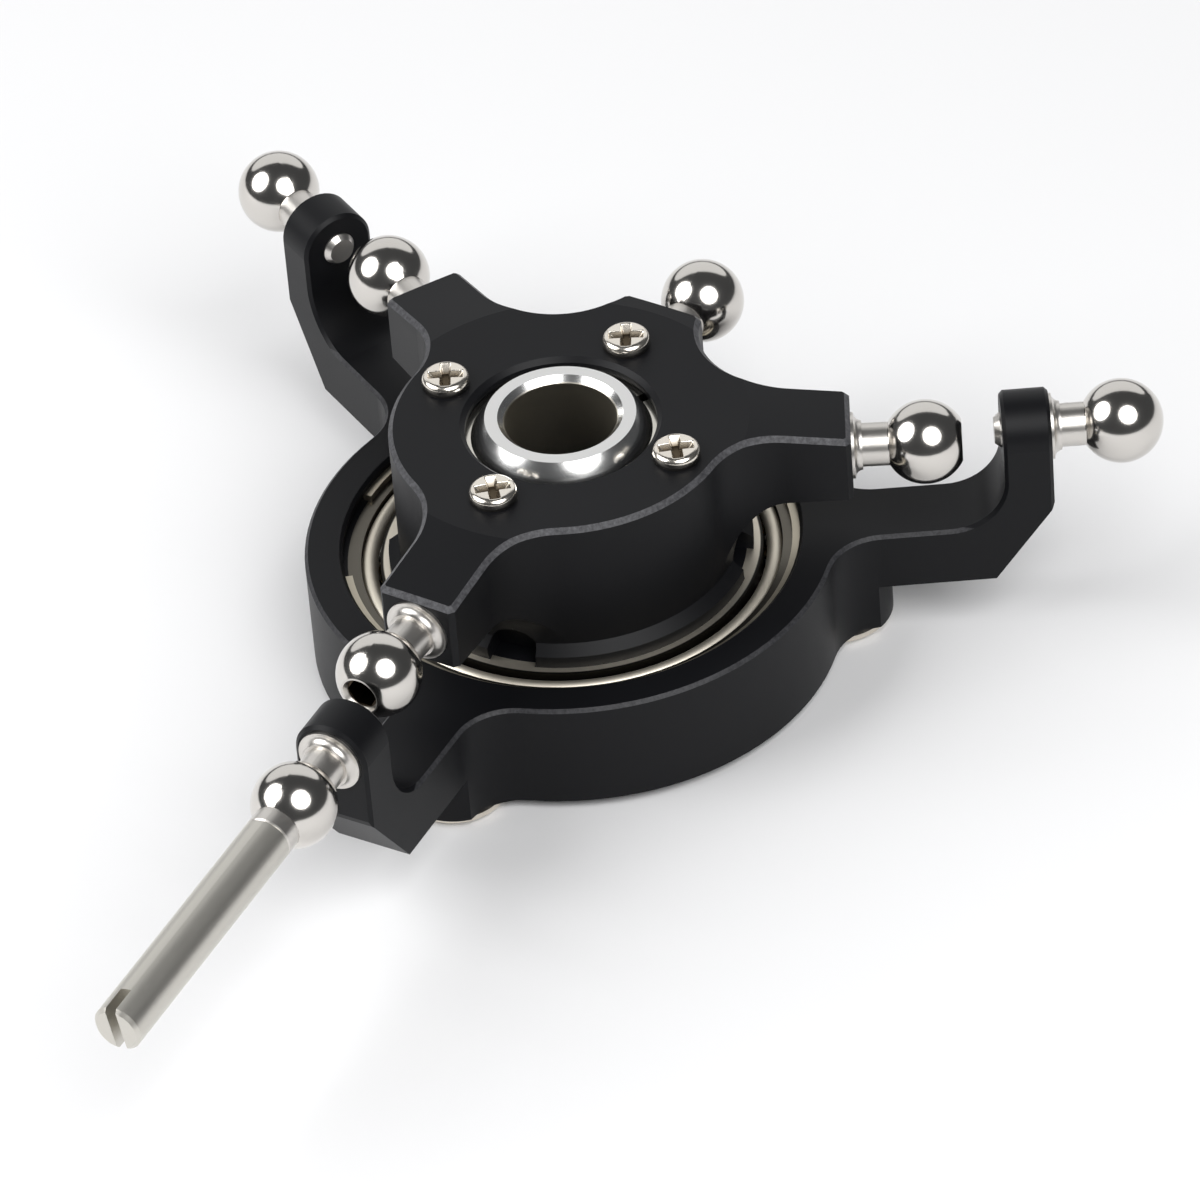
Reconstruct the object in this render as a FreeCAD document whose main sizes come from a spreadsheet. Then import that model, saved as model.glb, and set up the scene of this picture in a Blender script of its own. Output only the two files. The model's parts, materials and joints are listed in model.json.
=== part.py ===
import FreeCAD, Part
import math
import os
import Sketcher

# Swashplate of a model helicopter with an 8 mm mast.
# Millimetres, +Z up along the mast. The origin is the centre of the uniball, and -Y points
# along the front arm, which carries the anti-rotation pin.

DIMENSIONS = {
    # uniball and its split cup
    "mast_bore_d": 8.0,
    "uniball_d": 14.0,
    "uniball_height": 9.0,
    "uniball_bore_chamfer": 0.45,
    "seat_gap": 0.05,
    "cup_wall": 0.45,
    "cup_half_height": 2.9,
    "cup_slit": 0.8,
    # upper star
    "hub_radius": 12.2,
    "hub_top": 4.0,
    "hub_bottom": -7.85,
    "hub_mouth_d": 13.6,
    "plateau_radius": 13.3,
    "arm_tip_top": 3.03,
    "upper_arm_width": 6.0,
    "upper_arm_bottom": -2.2,
    "upper_arm_reach": 20.3,
    "rear_arm_reach": 14.8,
    "upper_arm_fillet": 5.6,
    "rear_web_r": 12.3,
    "cove_radius": 3.7,
    "edge_chamfer": 0.35,
    "foot_radius": 13.0,
    "foot_edge_height": 0.95,
    "foot_height": 1.57,
    "notch_radius": 1.8,
    "notch_axis_height": 0.75,
    "notch_front_turn_deg": 11.0,
    "notch_side_turn_deg": 108.0,
    # hub screws
    "hub_screw_circle_r": 9.38,
    "hub_screw_d": 2.0,
    "hub_screw_head_d": 3.4,
    "hub_screw_head_height": 0.9,
    "hub_screw_length": 7.0,
    "hub_screw_cross": 1.9,
    "hub_screw_cross_width": 0.5,
    "hub_screw_hole_d": 2.2,
    # sleeve that clamps the inner race
    "sleeve_spigot_r": 11.0,
    "sleeve_flange_r": 13.3,
    "sleeve_flange_height": 1.05,
    "sleeve_mouth_r": 8.3,
    # 25 x 32 x 4 thin-section bearing
    "bearing_bore_d": 25.0,
    "bearing_outer_d": 32.0,
    "bearing_width": 4.0,
    "inner_land_r": 13.65,
    "outer_land_r": 15.05,
    "race_ball_d": 2.0,
    "race_pitch_r": 14.25,
    "race_ball_count": 20,
    "cage_inner_r": 14.3,
    "cage_outer_r": 14.8,
    "cage_web": 0.3,
    "cage_crown": 0.55,
    "race_groove_play": 0.03,
    "cage_pocket_play": 0.05,
    "shield_inner_r": 13.85,
    "shield_bend_r": 14.2,
    "shield_recess": 0.1,
    "shield_lip": 0.4,
    "shield_thickness": 0.25,
    # lower star
    "ring_radius": 19.0,
    "ring_top": -6.65,
    "ring_bottom": -15.0,
    "ring_mouth_r": 16.3,
    "snap_groove_r": 16.45,
    "snap_groove_height": 0.55,
    "lower_arm_width": 5.6,
    "lower_arm_bottom": -11.3,
    "lower_arm_fillet": 4.0,
    "boss_radius": 4.25,
    "boss_offset": 18.4,
    "post_inner": 30.9,
    "post_outer": 34.35,
    "post_dip_radius": 4.0,
    "post_corner_z": -5.1,
    "post_heel": 30.0,
    "lower_edge_chamfer": 0.25,
    # parts that hold the bearing in the lower star
    "spacer_inner_r": 15.0,
    "retaining_screw_offset": 18.7,
    "retaining_head_d": 7.4,
    "retaining_head_height": 0.75,
    "retaining_screw_d": 3.0,
    "retaining_screw_length": 6.0,
    "retaining_cross": 3.4,
    "retaining_cross_width": 0.8,
    "snap_ring_inner_r": 15.75,
    "snap_ring_outer_r": 16.4,
    "snap_ring_thickness": 0.5,
    "snap_ring_sweep_deg": 327.5,
    # linkage balls
    "link_ball_d": 6.0,
    "link_neck_d": 3.1,
    "link_collar_d": 4.7,
    "link_collar_edge": 0.2,
    "link_collar_depth": 0.75,
    "link_flare_radius": 0.6,
    "link_throat_d": 3.5,
    "link_thread_d": 2.5,
    "upper_thread_length": 5.0,
    "rear_thread_length": 3.6,
    "thread_relief": 0.1,
    "upper_ball_reach": 25.5,
    "rear_ball_reach": 20.0,
    "upper_ball_z": 0.3,
    "lower_ball_reach": 39.4,
    "lower_thread_tip": 0.5,
    "link_end_flat_d": 3.0,
    "link_socket_d": 2.7,
    "link_socket_dish": 0.4,
    "link_hex_width": 2.0,
    "link_hex_depth": 1.6,
    # anti-rotation pin
    "pin_d": 3.5,
    "pin_start": 43.2,
    "pin_end": 63.6,
    "pin_chamfer": 0.25,
    "pin_stub_d": 2.0,
    "pin_stub_length": 2.6,
    "pin_slot_width": 0.8,
    "pin_slot_depth": 2.2,
    "pin_slot_turn_deg": 101.0,
    "pin_joint_groove": 0.1,
    # the lower star stands turned a little against the upper one
    "lower_turn_deg": 2.3,
}

doc = FreeCAD.newDocument("Swashplate")
sheet = doc.addObject("Spreadsheet::Sheet", "Dims")
for row, (alias, number) in enumerate(DIMENSIONS.items(), start=1):
    sheet.set(f"A{row}", alias)
    sheet.set(f"B{row}", str(number))
    sheet.setAlias(f"B{row}", alias)
doc.recompute()


class Size:
    """A number from the sheet or worked out from it: its expression text and its value."""

    def __init__(self, text, value):
        self.text = text
        self.value = float(value)

    def __add__(self, other):
        other = as_size(other)
        return Size(f"({self.text} + {other.text})", self.value + other.value)

    def __radd__(self, other):
        return as_size(other) + self

    def __sub__(self, other):
        other = as_size(other)
        return Size(f"({self.text} - {other.text})", self.value - other.value)

    def __rsub__(self, other):
        return as_size(other) - self

    def __mul__(self, other):
        other = as_size(other)
        return Size(f"({self.text} * {other.text})", self.value * other.value)

    def __rmul__(self, other):
        return as_size(other) * self

    def __truediv__(self, other):
        other = as_size(other)
        return Size(f"({self.text} / {other.text})", self.value / other.value)

    def __neg__(self):
        return Size(f"(0 - {self.text})", -self.value)


def as_size(number):
    """Wraps a plain number, so that it can stand beside a size from the sheet."""
    return number if isinstance(number, Size) else Size(f"({number})", number)


def dim(alias):
    """The size held in the sheet's cell of that alias."""
    return Size(f"Dims.{alias}", DIMENSIONS[alias])


def root(size):
    """Square root of a size."""
    return Size(f"sqrt({size.text})", math.sqrt(size.value))


def sphere_offset(radius, other):
    """Third side of the right triangle whose long side is the sphere's radius."""
    return root(radius * radius - other * other)


def bind(feature, property_name, size):
    """Ties a property to the sheet."""
    feature.setExpression(property_name, size.text)


# Helpers for bodies, sketches and features

def new_body(name, azimuth_deg=0.0, height=None):
    """A PartDesign body turned about Z and, where a height is given, raised to it."""
    body = doc.addObject("PartDesign::Body", name)
    body.Label = name
    turn = FreeCAD.Rotation(FreeCAD.Vector(0, 0, 1), azimuth_deg)
    rise = height.value if height else 0.0
    body.Placement = FreeCAD.Placement(FreeCAD.Vector(0, 0, rise), turn)
    if height:
        bind(body, "Placement.Base.z", height)
    return body


def new_sketch(body, role, offset=None, turn_deg=0.0):
    """A sketch on one of the body's origin planes, moved along its normal and turned upright."""
    sketch = body.newObject("Sketcher::SketchObject", f"{body.Name}_outline")
    plane = next(item for item in body.Origin.OriginFeatures if item.Role == role)
    sketch.AttachmentSupport = [(plane, "")]
    sketch.MapMode = "FlatFace"
    rise = FreeCAD.Vector(0, 0, offset.value if offset else 0.0)
    turn = FreeCAD.Rotation(FreeCAD.Vector(0, 1, 0), turn_deg)
    sketch.AttachmentOffset = FreeCAD.Placement(rise, turn)
    if offset:
        bind(sketch, "AttachmentOffset.Base.z", offset)
    return sketch


def constrain(sketch, kind, *arguments):
    """Adds a dimension whose last argument is a size, and ties it to the sheet."""
    size = as_size(arguments[-1])
    index = sketch.addConstraint(Sketcher.Constraint(kind, *arguments[:-1], size.value))
    sketch.setExpression(f"Constraints[{index}]", size.text)


def add_circle(sketch, radius, centre_x=0, centre_y=0):
    """A circle with its centre at the given place."""
    x = as_size(centre_x)
    y = as_size(centre_y)
    centre = FreeCAD.Vector(x.value, y.value, 0)
    normal = FreeCAD.Vector(0, 0, 1)
    index = sketch.addGeometry(Part.Circle(centre, normal, radius.value), False)
    constrain(sketch, "Radius", index, radius)
    constrain(sketch, "DistanceX", -1, 1, index, 3, x)
    constrain(sketch, "DistanceY", -1, 1, index, 3, y)


def arc_between(start, end, radius, side):
    """Minor arc of the radius, with its centre left (side 1) or right (side -1) of the way."""
    chord = end - start
    middle = (start + end) * 0.5
    normal = FreeCAD.Vector(-chord.y, chord.x, 0)
    normal.normalize()
    height = math.sqrt(max(radius * radius - chord.Length ** 2 / 4, 0))
    centre = middle + normal * (side * height)
    first, last = (start, end) if side > 0 else (end, start)
    first_angle = math.atan2(first.y - centre.y, first.x - centre.x)
    last_angle = math.atan2(last.y - centre.y, last.x - centre.x)
    circle = Part.Circle(centre, FreeCAD.Vector(0, 0, 1), radius)
    return Part.ArcOfCircle(circle, first_angle, last_angle)


def add_profile(sketch, steps):
    """A closed outline. A step is (x, y), reached by a line, or (x, y, radius, side), by an arc."""
    corners = [(as_size(step[0]), as_size(step[1])) for step in steps]
    points = [FreeCAD.Vector(x.value, y.value, 0) for x, y in corners]
    first_index = sketch.GeometryCount
    ends = []
    for number, step in enumerate(steps):
        start = points[number - 1]
        end = points[number]
        index = first_index + number
        if len(step) == 2:
            sketch.addGeometry(Part.LineSegment(start, end), False)
            ends.append((1, 2))
        else:
            radius = as_size(step[2])
            side = step[3]
            sketch.addGeometry(arc_between(start, end, radius.value, side), False)
            ends.append((1, 2) if side > 0 else (2, 1))
            constrain(sketch, "Radius", index, radius)
    for number in range(len(steps)):
        following = (number + 1) % len(steps)
        sketch.addConstraint(Sketcher.Constraint(
            "Coincident", first_index + number, ends[number][1],
            first_index + following, ends[following][0]))
    for number, (x, y) in enumerate(corners):
        constrain(sketch, "DistanceX", -1, 1, first_index + number, ends[number][1], x)
        constrain(sketch, "DistanceY", -1, 1, first_index + number, ends[number][1], y)


def pad(body, sketch, length, midplane=False):
    """Raises a sketch along its normal."""
    feature = body.newObject("PartDesign::Pad", f"{body.Name}_pad")
    feature.Profile = sketch
    feature.Length = length.value
    feature.Midplane = midplane
    bind(feature, "Length", length)
    return feature


def pocket(body, sketch, length, reverse=False, midplane=False):
    """Cuts a sketch away: against its normal, along it when reversed, or to both sides."""
    feature = body.newObject("PartDesign::Pocket", f"{body.Name}_pocket")
    feature.Profile = sketch
    feature.Length = length.value
    feature.Reversed = reverse
    feature.Midplane = midplane
    bind(feature, "Length", length)
    return feature


def turned(body, steps, cut=False, axis="V_Axis", axis_at=None, turn_deg=0.0):
    """Turns a profile on the XZ plane about a sketch axis, or an upright one at x = axis_at."""
    sketch = new_sketch(body, "XZ_Plane", turn_deg=turn_deg)
    add_profile(sketch, steps)
    if axis_at:
        foot = FreeCAD.Vector(axis_at.value, -1, 0)
        head = FreeCAD.Vector(axis_at.value, 1, 0)
        index = sketch.addGeometry(Part.LineSegment(foot, head), True)
        for end, y in ((1, -1), (2, 1)):
            constrain(sketch, "DistanceX", -1, 1, index, end, axis_at)
            constrain(sketch, "DistanceY", -1, 1, index, end, y)
        axis = "Axis0"
    kind = "Groove" if cut else "Revolution"
    feature = body.newObject(f"PartDesign::{kind}", f"{body.Name}_{kind.lower()}")
    feature.Profile = sketch
    feature.ReferenceAxis = (sketch, [axis])
    feature.Angle = 360
    return feature


def polar_copies(body, features, count):
    """Repeats features around the body's Z axis."""
    pattern = body.newObject("PartDesign::PolarPattern", f"{body.Name}_pattern")
    axis = next(item for item in body.Origin.OriginFeatures if item.Role == "Z_Axis")
    pattern.Originals = features
    pattern.Axis = (axis, [""])
    pattern.Angle = 360
    pattern.Occurrences = count
    body.Tip = pattern
    return pattern


def edge_names(feature, chosen):
    """Names of the feature's edges for which the test holds."""
    edges = enumerate(feature.Shape.Edges, start=1)
    return [f"Edge{number}" for number, edge in edges if chosen(edge)]


def is_upright(edge):
    """True for a straight edge parallel to Z."""
    if len(edge.Vertexes) < 2:
        return False
    start, end = (vertex.Point for vertex in edge.Vertexes)
    return math.hypot(end.x - start.x, end.y - start.y) < 1e-6


def middle_of(edge):
    """Point half-way along an edge."""
    return edge.valueAt((edge.FirstParameter + edge.LastParameter) / 2)


def radius_of(point):
    """Distance of a point from the Z axis."""
    return math.hypot(point.x, point.y)


def is_root(edge, radius):
    """True for an upright edge on the cylinder of that radius, where an arm leaves the hub."""
    return is_upright(edge) and abs(radius_of(middle_of(edge)) - radius) < 1e-3


def is_tip_corner(edge, reach, rear):
    """True for the two upright edges at the tip of each arm of the upper star."""
    middle = middle_of(edge)
    return is_upright(edge) and (radius_of(middle) > reach or middle.x < 1e-3 - rear)


def is_top_rim(edge, height, plateau_radius):
    """True for the outer edges of the top, leaving out where the plateau meets the slopes."""
    if is_upright(edge) or edge.BoundBox.ZMin < height:
        return False
    ends = [radius_of(vertex.Point) for vertex in edge.Vertexes]
    on_plateau_edge = all(abs(end - plateau_radius) < 1e-3 for end in ends)
    return not (on_plateau_edge and abs(radius_of(middle_of(edge)) - plateau_radius) < 1e-3)


def is_lower_rim(edge, top, arm_bottom):
    """True for the outer edges of the lower star's top and posts."""
    middle = middle_of(edge)
    return middle.z > top - 1e-6 and radius_of(middle) > 17.0


def rounded(body, base, edges, radius):
    """Fillets the named edges."""
    feature = body.newObject("PartDesign::Fillet", f"{body.Name}_fillet")
    feature.Base = (base, edges)
    feature.Radius = radius.value
    bind(feature, "Radius", radius)
    return feature


def bevelled(body, base, edges, size):
    """Chamfers the named edges."""
    feature = body.newObject("PartDesign::Chamfer", f"{body.Name}_chamfer")
    feature.Base = (base, edges)
    feature.Size = size.value
    bind(feature, "Size", size)
    return feature


def cross_outline(sketch, span, width, centre_x):
    """A plus-shaped outline for a cross recess."""
    far = span / 2
    near = width / 2
    corners = [(near, near), (near, far), (-near, far), (-near, near), (-far, near),
               (-far, -near), (-near, -near), (-near, -far), (near, -far), (near, -near),
               (far, -near), (far, near)]
    add_profile(sketch, [(centre_x + x, y) for x, y in corners])


# Sizes used by more than one piece

FRONT = -90.0
LOWER_FRONT = FRONT + DIMENSIONS["lower_turn_deg"]
uniball_r = dim("uniball_d") / 2
cup_inner_r = uniball_r + dim("seat_gap")
cup_outer_r = cup_inner_r + dim("cup_wall")
seat_r = cup_outer_r + dim("seat_gap")
mouth_r = dim("hub_mouth_d") / 2
mouth_z = sphere_offset(seat_r, mouth_r)
race_top = dim("hub_bottom")
race_bottom = race_top - dim("bearing_width")
race_middle = (race_top + race_bottom) / 2
bearing_bore_r = dim("bearing_bore_d") / 2
bearing_outer_r = dim("bearing_outer_d") / 2
race_ball_r = dim("race_ball_d") / 2
race_groove_r = race_ball_r + dim("race_groove_play")
link_ball_r = dim("link_ball_d") / 2
link_neck_r = dim("link_neck_d") / 2
link_thread_r = dim("link_thread_d") / 2
pin_r = dim("pin_d") / 2


# Uniball and cup

def make_uniball():
    """Polished ball with flat faces, bored for the mast."""
    body = new_body("uniball")
    half = dim("uniball_height") / 2
    face_r = sphere_offset(uniball_r, half)
    bore_r = dim("mast_bore_d") / 2
    chamfer = dim("uniball_bore_chamfer")
    turned(body, [
        (bore_r, chamfer - half),
        (bore_r + chamfer, -half),
        (face_r, -half),
        (face_r, half, uniball_r, 1),
        (bore_r + chamfer, half),
        (bore_r, half - chamfer),
    ])


def make_ball_cup():
    """Thin spherical cup with a slit, so that it can be sprung over the ball."""
    body = new_body("ball_cup", 60.0)
    half = dim("cup_half_height")
    inner = sphere_offset(cup_inner_r, half)
    outer = sphere_offset(cup_outer_r, half)
    turned(body, [
        (inner, -half, cup_inner_r, -1),
        (outer, -half),
        (outer, half, cup_outer_r, 1),
        (inner, half),
    ])
    slit = dim("cup_slit") / 2
    sketch = new_sketch(body, "XY_Plane", -half)
    add_profile(sketch, [
        (uniball_r / 2, -slit),
        (uniball_r * 2, -slit),
        (uniball_r * 2, slit),
        (uniball_r / 2, slit),
    ])
    pocket(body, sketch, dim("uniball_height"), reverse=True)


# Rotating side

def make_upper_star():
    """Rotating star: hub, three equal arms and a shorter one opposite the front arm."""
    body = new_body("upper_star", FRONT)
    hub_r = dim("hub_radius")
    top = dim("hub_top")
    arm_bottom = dim("upper_arm_bottom")
    cove = dim("cove_radius")
    cove_foot = arm_bottom - cove
    height = top - cove_foot
    half_width = dim("upper_arm_width") / 2
    reach = dim("upper_arm_reach")
    rear = dim("rear_arm_reach")

    disc = new_sketch(body, "XY_Plane", cove_foot)
    add_circle(disc, hub_r)
    pad(body, disc, height)
    outline = new_sketch(body, "XY_Plane", cove_foot)
    add_profile(outline, [(0, -half_width), (reach, -half_width), (reach, half_width), (0, half_width)])
    arm = pad(body, outline, height)
    polar_copies(body, [arm], 3)
    outline = new_sketch(body, "XY_Plane", cove_foot)
    add_profile(outline, [(0, half_width), (-rear, half_width), (-rear, -half_width), (0, -half_width)])
    slab = pad(body, outline, height)
    doc.recompute()

    # between the short arm and its neighbours a single arc runs from arm to arm
    web_r = dim("rear_web_r") - half_width * 2
    web_offset = (web_r + half_width) * 2
    cos30 = root(as_size(0.75))
    for side in (1, -1):
        outline = new_sketch(body, "XY_Plane", cove_foot)
        corners = [
            (0, 0),
            (-half_width * cos30 - web_offset * cos30 / 2, (web_offset * 0.75 - half_width / 2) * side),
            (-rear, half_width * 1.5 * side),
            (-rear, 0),
        ]
        add_profile(outline, corners)
        pad(body, outline, height)
    for side in (1, -1):
        outline = new_sketch(body, "XY_Plane", cove_foot - 1)
        add_circle(outline, web_r, -web_offset * cos30, web_offset * side / 2)
        webbed = pocket(body, outline, height + 2, reverse=True)
    doc.recompute()

    roots = edge_names(webbed, lambda edge: is_root(edge, hub_r.value))
    webs = rounded(body, webbed, roots, dim("upper_arm_fillet"))
    doc.recompute()
    corners = edge_names(webs, lambda edge: is_tip_corner(edge, reach.value, rear.value))
    bevelled(body, webs, corners, dim("edge_chamfer"))

    # the arms fall away outside the plateau, and are coved into the hub from below
    plateau = dim("plateau_radius")
    slope = (top - dim("arm_tip_top")) / (reach - plateau)
    clear = reach + 3
    turned(body, [
        (plateau, top),
        (clear, top - slope * (clear - plateau)),
        (clear, top + 1),
        (plateau, top + 1),
    ], cut=True, turn_deg=60.0)
    shaped = turned(body, [
        (hub_r, cove_foot - 1),
        (hub_r, cove_foot),
        (hub_r + cove, arm_bottom, cove, -1),
        (clear, arm_bottom),
        (clear, cove_foot - 1),
    ], cut=True, turn_deg=60.0)
    doc.recompute()
    rim = edge_names(shaped, lambda edge: is_top_rim(edge, dim("arm_tip_top").value - 0.2, plateau.value))
    bevelled(body, shaped, rim, dim("edge_chamfer"))

    # foot of the hub, which stands on the bearing's inner race
    foot_r = dim("foot_radius")
    spigot_r = dim("sleeve_spigot_r")
    foot = dim("hub_bottom")
    turned(body, [
        (spigot_r - 1, foot),
        (foot_r, foot),
        (foot_r, foot + dim("foot_edge_height")),
        (hub_r, foot + dim("foot_height")),
        (hub_r, cove_foot),
        (spigot_r - 1, cove_foot),
    ])

    # spherical seat, with the pocket for the sleeve below it
    lead = dim("edge_chamfer")
    turned(body, [
        (0, foot - 1),
        (spigot_r, foot - 1),
        (spigot_r, 0),
        (seat_r, 0),
        (mouth_r, mouth_z, seat_r, 1),
        (mouth_r, top - lead),
        (mouth_r + lead, top),
        (mouth_r + lead, top + 1),
        (0, top + 1),
    ], cut=True)

    # arched notches in the foot, each cut right across the hub
    for turn in ("notch_front_turn_deg", "notch_side_turn_deg"):
        sketch = new_sketch(body, "YZ_Plane", turn_deg=DIMENSIONS[turn])
        add_circle(sketch, dim("notch_radius"), 0, foot + dim("notch_axis_height"))
        pocket(body, sketch, (foot_r + 1) * 2, midplane=True)

    # holes for the hub screws and the link balls
    sketch = new_sketch(body, "XY_Plane", top + 1)
    add_circle(sketch, dim("hub_screw_hole_d") / 2, dim("hub_screw_circle_r"))
    hole = pocket(body, sketch, top + 2)
    polar_copies(body, [hole], 4)
    relief = dim("thread_relief")
    sketch = new_sketch(body, "YZ_Plane", reach)
    add_circle(sketch, link_thread_r, 0, dim("upper_ball_z"))
    hole = pocket(body, sketch, dim("upper_thread_length") + relief)
    polar_copies(body, [hole], 3)
    sketch = new_sketch(body, "YZ_Plane", -rear)
    add_circle(sketch, link_thread_r, 0, dim("upper_ball_z"))
    pocket(body, sketch, dim("rear_thread_length") + relief, reverse=True)


def make_inner_sleeve():
    """Sleeve under the star: lower half of the seat, journal and flange for the inner race."""
    body = new_body("inner_sleeve", FRONT)
    spigot_r = dim("sleeve_spigot_r")
    flange_r = dim("sleeve_flange_r")
    flange_bottom = race_bottom - dim("sleeve_flange_height")
    turned(body, [
        (seat_r, 0, seat_r, 1),
        (spigot_r, 0),
        (spigot_r, race_top),
        (bearing_bore_r, race_top),
        (bearing_bore_r, race_bottom),
        (flange_r, race_bottom),
        (flange_r, flange_bottom),
        (dim("sleeve_mouth_r"), flange_bottom),
        (mouth_r, -mouth_z),
    ])
    sketch = new_sketch(body, "XY_Plane")
    add_circle(sketch, dim("hub_screw_d") / 2, dim("hub_screw_circle_r"))
    hole = pocket(body, sketch, dim("hub_screw_length") - dim("hub_top") + 1)
    polar_copies(body, [hole], 4)


def make_hub_screws():
    """Four pan-head screws that draw the sleeve up into the star."""
    body = new_body("hub_screws", FRONT)
    body.AllowCompound = True
    axis = dim("hub_screw_circle_r")
    top = dim("hub_top")
    head_r = dim("hub_screw_head_d") / 2
    head_top = top + dim("hub_screw_head_height")
    crown = dim("hub_screw_head_height") / 2
    shank_r = dim("hub_screw_d") / 2
    screw = turned(body, [
        (axis, top - dim("hub_screw_length")),
        (axis + shank_r, top - dim("hub_screw_length")),
        (axis + shank_r, top),
        (axis + head_r, top),
        (axis + head_r, head_top - crown),
        (axis + head_r - crown, head_top, crown, 1),
        (axis, head_top),
    ], axis_at=axis)
    sketch = new_sketch(body, "XY_Plane", head_top)
    cross_outline(sketch, dim("hub_screw_cross"), dim("hub_screw_cross_width"), axis)
    recess = pocket(body, sketch, dim("hub_screw_head_height") * 0.75)
    polar_copies(body, [screw, recess], 4)


# Bearing

def make_inner_race():
    """Inner race with its ball groove."""
    body = new_body("bearing_inner_race")
    land = dim("inner_land_r")
    reach = sphere_offset(race_groove_r, dim("race_pitch_r") - land)
    turned(body, [
        (bearing_bore_r, race_bottom),
        (land, race_bottom),
        (land, race_middle - reach),
        (land, race_middle + reach, race_groove_r, -1),
        (land, race_top),
        (bearing_bore_r, race_top),
    ])


def make_outer_race():
    """Outer race with its ball groove."""
    body = new_body("bearing_outer_race")
    land = dim("outer_land_r")
    reach = sphere_offset(race_groove_r, land - dim("race_pitch_r"))
    turned(body, [
        (land, race_bottom),
        (bearing_outer_r, race_bottom),
        (bearing_outer_r, race_top),
        (land, race_top),
        (land, race_middle + reach),
        (land, race_middle - reach, race_groove_r, -1),
    ])


def make_bearing_balls():
    """Ring of separate balls."""
    body = new_body("bearing_balls")
    body.AllowCompound = True
    pitch = dim("race_pitch_r")
    ball = turned(body, [
        (pitch, race_middle - race_ball_r),
        (pitch + race_ball_r, race_middle, race_ball_r, 1),
        (pitch, race_middle + race_ball_r, race_ball_r, 1),
    ], axis_at=pitch)
    pattern = polar_copies(body, [ball], DIMENSIONS["race_ball_count"])
    bind(pattern, "Occurrences", dim("race_ball_count"))


def make_cage():
    """Crown cage: a ring below the balls with pockets open upwards."""
    body = new_body("bearing_cage")
    inner = dim("cage_inner_r")
    outer = dim("cage_outer_r")
    pocket_r = race_ball_r + dim("cage_pocket_play")
    bottom = race_middle - pocket_r - dim("cage_web")
    crown = race_middle + dim("cage_crown")
    turned(body, [(inner, bottom), (outer, bottom), (outer, crown), (inner, crown)])
    sketch = new_sketch(body, "YZ_Plane")
    add_circle(sketch, pocket_r, 0, race_middle)
    seat = pocket(body, sketch, outer + 1, reverse=True)
    pattern = polar_copies(body, [seat], DIMENSIONS["race_ball_count"])
    bind(pattern, "Occurrences", dim("race_ball_count"))


def make_shield(name, side):
    """Sheet-metal shield: a flat band crimped in the outer race and a lip towards the inner."""
    body = new_body(name)
    face = race_middle + side * (dim("bearing_width") / 2 - dim("shield_recess"))
    lip = face - side * dim("shield_lip")
    back = side * dim("shield_thickness")
    outer = dim("outer_land_r")
    bend = dim("shield_bend_r")
    inner = dim("shield_inner_r")
    turned(body, [
        (outer, face - back),
        (outer, face),
        (bend, face),
        (inner, lip),
        (inner, lip - back),
        (bend, face - back),
    ])


# Stationary side

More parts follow.
